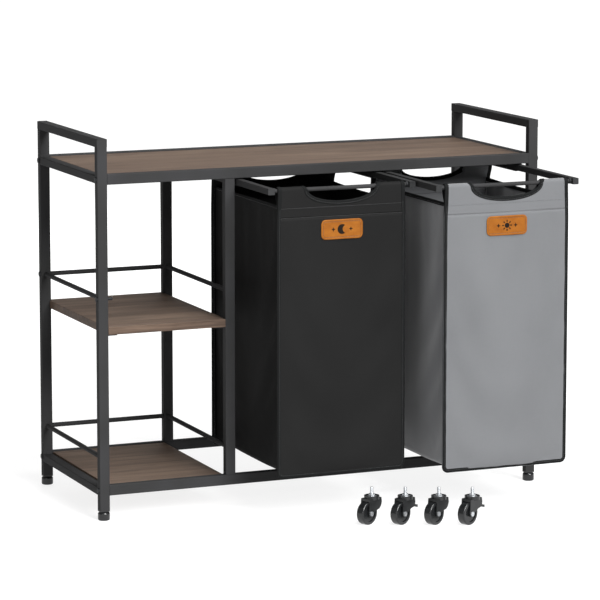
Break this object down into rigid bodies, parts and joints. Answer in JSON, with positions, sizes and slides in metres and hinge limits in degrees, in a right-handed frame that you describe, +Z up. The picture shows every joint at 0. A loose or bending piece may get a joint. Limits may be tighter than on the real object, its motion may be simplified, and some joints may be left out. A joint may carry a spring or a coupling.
{
  "type": "laundry sorter",
  "caption": "Steel-framed laundry sorter with an open shelf end, a wooden top between push handles, pull-out hanging bags and screw-in feet or casters.",
  "frame": {"origin": "middle of the footprint of the frame, pulled-out bags and parked casters, on the floor", "axes": "+X right along the frame as seen from the front, -Y towards the front, +Z up"},
  "size_m": [0.9248, 0.6695, 0.727],
  "materials": {
    "frame_paint": "powder coat, fine texture",
    "black_bolts": "black painted",
    "zinc_plate": "zinc plated",
    "oak_board": "grey brown rustic oak laminate",
    "dark_cloth": "woven, matt",
    "light_cloth": "woven, matt",
    "binding_tape": "woven tape",
    "tan_leather": "smooth",
    "black_plastic": "satin",
    "black_gloss_plastic": "glossy"
  },
  "bodies": {
    "frame": {"left_uprights": "frame_paint", "right_uprights": "frame_paint", "middle_uprights": "frame_paint", "left_handle": "frame_paint", "right_handle": "frame_paint", "left_side_rails": "frame_paint", "right_side_rails": "frame_paint", "long_top_rails": "frame_paint", "long_bottom_rails": "frame_paint", "rail_nuts": "zinc_plate", "frame_bolts": "black_bolts", "left_guard_rods": "frame_paint", "rear_guard_rods": "frame_paint", "middle_guard_rods": "frame_paint", "top_board": "oak_board", "middle_shelf": "oak_board", "bottom_shelf": "oak_board", "shelf_brackets": "frame_paint", "shelf_screws": "zinc_plate", "bag_guides": "frame_paint", "guide_screws": "zinc_plate", "leg_inserts": "black_plastic"},
    "dark_bag_unit": {"dark_bag": "dark_cloth", "dark_bag_binding": "binding_tape", "dark_bag_label": "tan_leather", "dark_bag_bars": "frame_paint", "dark_bar_caps": "black_plastic", "dark_bag_rods": "frame_paint", "dark_rod_nuts": "black_bolts"},
    "light_bag_unit": {"light_bag": "light_cloth", "light_bag_binding": "binding_tape", "light_bag_label": "tan_leather", "light_bag_bars": "frame_paint", "light_bar_caps": "black_plastic", "light_bag_rods": "frame_paint", "light_rod_nuts": "black_bolts"},
    "front_left_foot": {"front_left_foot": "black_gloss_plastic"},
    "front_right_foot": {"front_right_foot": "black_gloss_plastic"},
    "rear_left_foot": {"rear_left_foot": "black_gloss_plastic"},
    "rear_right_foot": {"rear_right_foot": "black_gloss_plastic"},
    "caster_1_stem": {"caster_1_stem": "zinc_plate"},
    "caster_1_fork": {"caster_1_fork": "black_plastic", "caster_1_axle": "zinc_plate"},
    "caster_1_wheel": {"caster_1_wheel": "black_gloss_plastic"},
    "caster_2_stem": {"caster_2_stem": "zinc_plate"},
    "caster_2_fork": {"caster_2_fork": "black_plastic", "caster_2_axle": "zinc_plate"},
    "caster_2_wheel": {"caster_2_wheel": "black_gloss_plastic"},
    "caster_2_brake_lever": {"caster_2_brake_lever": "black_plastic"},
    "caster_3_stem": {"caster_3_stem": "zinc_plate"},
    "caster_3_fork": {"caster_3_fork": "black_plastic", "caster_3_axle": "zinc_plate"},
    "caster_3_wheel": {"caster_3_wheel": "black_gloss_plastic"},
    "caster_4_stem": {"caster_4_stem": "zinc_plate"},
    "caster_4_fork": {"caster_4_fork": "black_plastic", "caster_4_axle": "zinc_plate"},
    "caster_4_wheel": {"caster_4_wheel": "black_gloss_plastic"},
    "caster_4_brake_lever": {"caster_4_brake_lever": "black_plastic"}
  },
  "joints": [
    {"name": "dark_bag_slide", "type": "slide", "parent": "frame", "child": "dark_bag_unit", "axis": [0, -1, 0], "range_m": [-0.15, 0.075]},
    {"name": "light_bag_slide", "type": "slide", "parent": "frame", "child": "light_bag_unit", "axis": [0, -1, 0], "range_m": [-0.225, 0]},
    {"name": "front_left_foot_screw", "type": "hinge", "parent": "frame", "child": "front_left_foot", "pos_m": [-0.45, -0.0168, 0.02], "axis": [0, 0, 1], "continuous": true},
    {"name": "front_right_foot_screw", "type": "hinge", "parent": "frame", "child": "front_right_foot", "pos_m": [0.45, -0.0168, 0.02], "axis": [0, 0, 1], "continuous": true},
    {"name": "rear_left_foot_screw", "type": "hinge", "parent": "frame", "child": "rear_left_foot", "pos_m": [-0.45, 0.3232, 0.02], "axis": [0, 0, 1], "continuous": true},
    {"name": "rear_right_foot_screw", "type": "hinge", "parent": "frame", "child": "rear_right_foot", "pos_m": [0.45, 0.3232, 0.02], "axis": [0, 0, 1], "continuous": true},
    {"name": "caster_1_lift_away", "type": "slide", "parent": "frame", "child": "caster_1_stem", "axis": [-0.3955, -0.9184, 0], "range_m": [0, 0.08]},
    {"name": "caster_1_swivel", "type": "hinge", "parent": "caster_1_stem", "child": "caster_1_fork", "pos_m": [0.0073, -0.2375, 0.048], "axis": [0, 0, 1], "continuous": true},
    {"name": "caster_1_roll", "type": "hinge", "parent": "caster_1_fork", "child": "caster_1_wheel", "pos_m": [-0.00525, -0.2437, 0.022], "axis": [0.4431, -0.8965, 0], "continuous": true},
    {"name": "caster_2_lift_away", "type": "slide", "parent": "frame", "child": "caster_2_stem", "axis": [-0.3955, -0.9184, 0], "range_m": [0, 0.08]},
    {"name": "caster_2_swivel", "type": "hinge", "parent": "caster_2_stem", "child": "caster_2_fork", "pos_m": [0.06535, -0.2625, 0.048], "axis": [0, 0, 1], "continuous": true},
    {"name": "caster_2_roll", "type": "hinge", "parent": "caster_2_fork", "child": "caster_2_wheel", "pos_m": [0.0528, -0.2687, 0.022], "axis": [0.4431, -0.8965, 0], "continuous": true},
    {"name": "caster_2_brake", "type": "hinge", "parent": "caster_2_fork", "child": "caster_2_brake_lever", "pos_m": [0.0761, -0.25718, 0.034], "axis": [0.4431, -0.8965, 0], "range_deg": [-14, 0]},
    {"name": "caster_3_lift_away", "type": "slide", "parent": "frame", "child": "caster_3_stem", "axis": [-0.3955, -0.9184, 0], "range_m": [0, 0.08]},
    {"name": "caster_3_swivel", "type": "hinge", "parent": "caster_3_stem", "child": "caster_3_fork", "pos_m": [0.12339, -0.2875, 0.048], "axis": [0, 0, 1], "continuous": true},
    {"name": "caster_3_roll", "type": "hinge", "parent": "caster_3_fork", "child": "caster_3_wheel", "pos_m": [0.11084, -0.2937, 0.022], "axis": [0.4431, -0.8965, 0], "continuous": true},
    {"name": "caster_4_lift_away", "type": "slide", "parent": "frame", "child": "caster_4_stem", "axis": [-0.3955, -0.9184, 0], "range_m": [0, 0.08]},
    {"name": "caster_4_swivel", "type": "hinge", "parent": "caster_4_stem", "child": "caster_4_fork", "pos_m": [0.18144, -0.3125, 0.048], "axis": [0, 0, 1], "continuous": true},
    {"name": "caster_4_roll", "type": "hinge", "parent": "caster_4_fork", "child": "caster_4_wheel", "pos_m": [0.16889, -0.3187, 0.022], "axis": [0.4431, -0.8965, 0], "continuous": true},
    {"name": "caster_4_brake", "type": "hinge", "parent": "caster_4_fork", "child": "caster_4_brake_lever", "pos_m": [0.1922, -0.30718, 0.034], "axis": [0.4431, -0.8965, 0], "range_deg": [-14, 0]}
  ]
}
